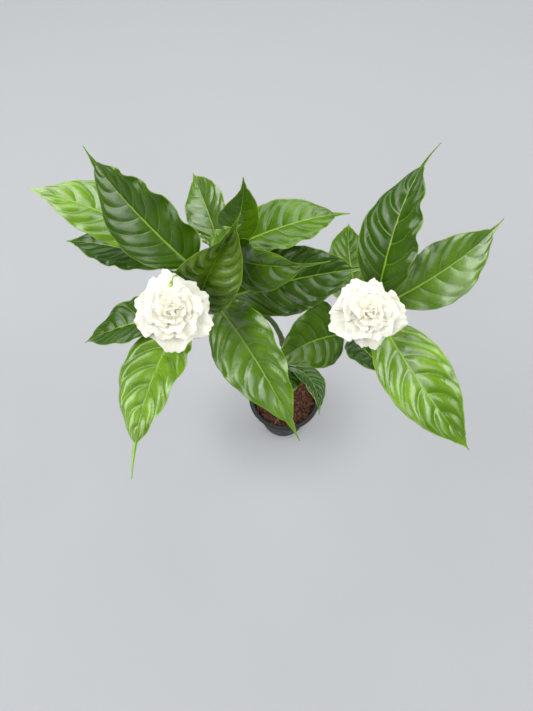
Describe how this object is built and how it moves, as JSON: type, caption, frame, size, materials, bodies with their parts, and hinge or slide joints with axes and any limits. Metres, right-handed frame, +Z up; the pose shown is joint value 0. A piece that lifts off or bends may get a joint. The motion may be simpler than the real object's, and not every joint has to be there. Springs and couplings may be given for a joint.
{
  "type": "potted flowering shrub",
  "caption": "Young shrub in a small tapered nursery pot, with long glossy drip-tipped leaves on forked stems and double ruffled white flowers.",
  "frame": {"origin": "middle of the pot's flat base, where it stands", "axes": "+Z up along the pot's axis; both flowers lean towards -Y, and the left flower is on the -X side"},
  "size_m": [0.3415, 0.2283, 0.3969],
  "materials": {
    "pot_black": "satin",
    "soil_brown": "matte",
    "stem_green": "matte",
    "leaf_green": "satin",
    "petal_white": "matte",
    "bud_green": "satin"
  },
  "bodies": {
    "root": {"pot": "pot_black", "soil": "soil_brown", "main_stem": "stem_green", "left_branch": "stem_green", "left_front_twig": "stem_green", "left_back_twig": "stem_green", "centre_branch": "stem_green", "right_branch": "stem_green", "left_leaf_1": "leaf_green", "left_leaf_2": "leaf_green", "left_leaf_3": "leaf_green", "left_leaf_4": "leaf_green", "left_leaf_5": "leaf_green", "left_leaf_6": "leaf_green", "left_leaf_7": "leaf_green", "left_leaf_8": "leaf_green", "centre_leaf_1": "leaf_green", "centre_leaf_2": "leaf_green", "centre_leaf_3": "leaf_green", "centre_leaf_4": "leaf_green", "centre_leaf_5": "leaf_green", "right_leaf_1": "leaf_green", "right_leaf_2": "leaf_green", "right_leaf_3": "leaf_green", "right_leaf_4": "leaf_green", "right_leaf_5": "leaf_green", "right_leaf_6": "leaf_green", "stem_leaf_1": "leaf_green", "stem_leaf_2": "leaf_green", "left_flower_stalk": "bud_green", "left_flower_outer_petal_1": "petal_white", "left_flower_outer_petal_2": "petal_white", "left_flower_outer_petal_3": "petal_white", "left_flower_outer_petal_4": "petal_white", "left_flower_outer_petal_5": "petal_white", "left_flower_inner_petal_1": "petal_white", "left_flower_inner_petal_2": "petal_white", "left_flower_inner_petal_3": "petal_white", "left_flower_inner_petal_4": "petal_white", "left_flower_inner_petal_5": "petal_white", "left_flower_heart": "petal_white", "right_flower_stalk": "bud_green", "right_flower_outer_petal_1": "petal_white", "right_flower_outer_petal_2": "petal_white", "right_flower_outer_petal_3": "petal_white", "right_flower_outer_petal_4": "petal_white", "right_flower_outer_petal_5": "petal_white", "right_flower_inner_petal_1": "petal_white", "right_flower_inner_petal_2": "petal_white", "right_flower_inner_petal_3": "petal_white", "right_flower_inner_petal_4": "petal_white", "right_flower_inner_petal_5": "petal_white", "right_flower_heart": "petal_white", "centre_bud_1": "bud_green", "centre_bud_2": "bud_green", "left_bud_1": "bud_green"}
  },
  "joints": []
}
